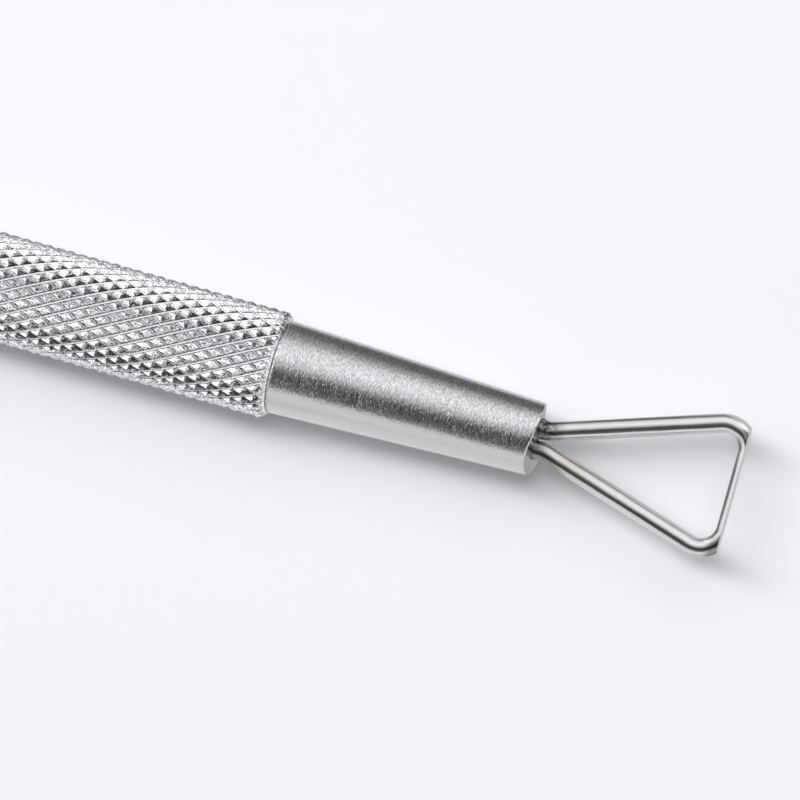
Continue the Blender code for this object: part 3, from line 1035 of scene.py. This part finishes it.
class SCRAPER_OT_ferrules(bpy.types.Operator):
    """Build the brushed nose and tail"""
    bl_idname = "scraper.ferrules"
    bl_label = "Nose and tail"

    def execute(self, context):
        sizes = context.scene.scraper_sizes
        material = brushed_steel("brushed_steel", context.scene.scraper_colours.brushed)
        dress("brushed_nose", nose_mesh(sizes), [material], "nose_ferrule")
        dress("brushed_tail", tail_mesh(sizes), [material], "tail_ferrule")
        return {"FINISHED"}


class SCRAPER_OT_loop(bpy.types.Operator):
    """Build the wire loop with its ground edge"""
    bl_idname = "scraper.loop"
    bl_label = "Wire loop"

    def execute(self, context):
        mesh = loop_mesh(context.scene.scraper_sizes)
        colours = context.scene.scraper_colours
        materials = [polished_wire(colours.wire, colours.tint), ground_steel(colours.wire)]
        dress("ground_loop", mesh, materials, "wire_loop")
        return {"FINISHED"}


class SCRAPER_OT_braze(bpy.types.Operator):
    """Build the braze at the loop's root"""
    bl_idname = "scraper.braze"
    bl_label = "Braze"

    def execute(self, context):
        mesh = braze_mesh(context.scene.scraper_sizes)
        material = silver_braze(context.scene.scraper_colours.braze)
        dress("braze_bead", mesh, [material], "braze_fill")
        return {"FINISHED"}


class SCRAPER_OT_stage(bpy.types.Operator):
    """Build the table, the lights and the camera"""
    bl_idname = "scraper.stage"
    bl_label = "Stage"

    def execute(self, context):
        studio = context.scene.scraper_studio
        self.table(context)
        studio_world(studio.fill)
        for name, direction, length, width, share in LIGHTS:
            full_watts = (math.pi * LIGHT_DISTANCE) ** 2 * Vector(direction).length / direction[2]
            soft_light(name, direction, length, width, studio.light * share * full_watts)
        self.camera(context, studio)
        context.scene.view_settings.view_transform = "Standard"
        return {"FINISHED"}

    def table(self, context):
        bm = bmesh.new()
        bmesh.ops.create_circle(bm, cap_ends=True, segments=96, radius=1.6)
        mesh = bpy.data.meshes.new("table")
        bm.to_mesh(mesh)
        bm.free()
        table = new_object("table", mesh, [table_top(context.scene.scraper_colours.table)])

    def camera(self, context, studio):
        data = bpy.data.cameras.new("camera")
        data.lens = studio.focal_length
        data.clip_start = 0.01
        camera = bpy.data.objects.new("camera", data)
        context.scene.collection.objects.link(camera)
        level = math.cos(studio.elevation)
        back = Vector((
            level * math.cos(studio.azimuth), level * math.sin(studio.azimuth), math.sin(studio.elevation)))
        camera.location = Vector(studio.aim) + back * studio.distance
        upright = back.to_track_quat("Z", "Y")
        camera.rotation_euler = (upright.to_matrix() @ Matrix.Rotation(studio.roll, 3, "Z")).to_euler()
        context.scene.camera = camera


class SCRAPER_PT_panel(bpy.types.Panel):
    """The scraper's pieces, sizes and colours"""
    bl_idname = "SCRAPER_PT_panel"
    bl_label = "Gel nail scraper"
    bl_space_type = "VIEW_3D"
    bl_region_type = "UI"
    bl_category = "Scraper"

    def draw(self, context):
        layout = self.layout
        for operator in PIECES:
            layout.operator(operator)
        scene = context.scene
        for group in (scene.scraper_sizes, scene.scraper_colours, scene.scraper_studio):
            box = layout.box()
            for name in group.__annotations__:
                box.prop(group, name)


PIECES = ("scraper.grip", "scraper.ferrules", "scraper.loop", "scraper.braze", "scraper.stage")
CLASSES = (
    ScraperSizes, ScraperColours, ScraperStudio, SCRAPER_OT_grip, SCRAPER_OT_ferrules, SCRAPER_OT_loop,
    SCRAPER_OT_braze, SCRAPER_OT_stage, SCRAPER_PT_panel,
)


def register():
    for cls in CLASSES:
        bpy.utils.register_class(cls)
    bpy.types.Scene.scraper_sizes = PointerProperty(type=ScraperSizes)
    bpy.types.Scene.scraper_colours = PointerProperty(type=ScraperColours)
    bpy.types.Scene.scraper_studio = PointerProperty(type=ScraperStudio)


def unregister():
    del bpy.types.Scene.scraper_studio
    del bpy.types.Scene.scraper_colours
    del bpy.types.Scene.scraper_sizes
    for cls in reversed(CLASSES):
        bpy.utils.unregister_class(cls)


def main():
    register()
    bpy.ops.scraper.grip()
    bpy.ops.scraper.ferrules()
    bpy.ops.scraper.loop()
    bpy.ops.scraper.braze()
    bpy.ops.scraper.stage()


if __name__ == "__main__":
    main()
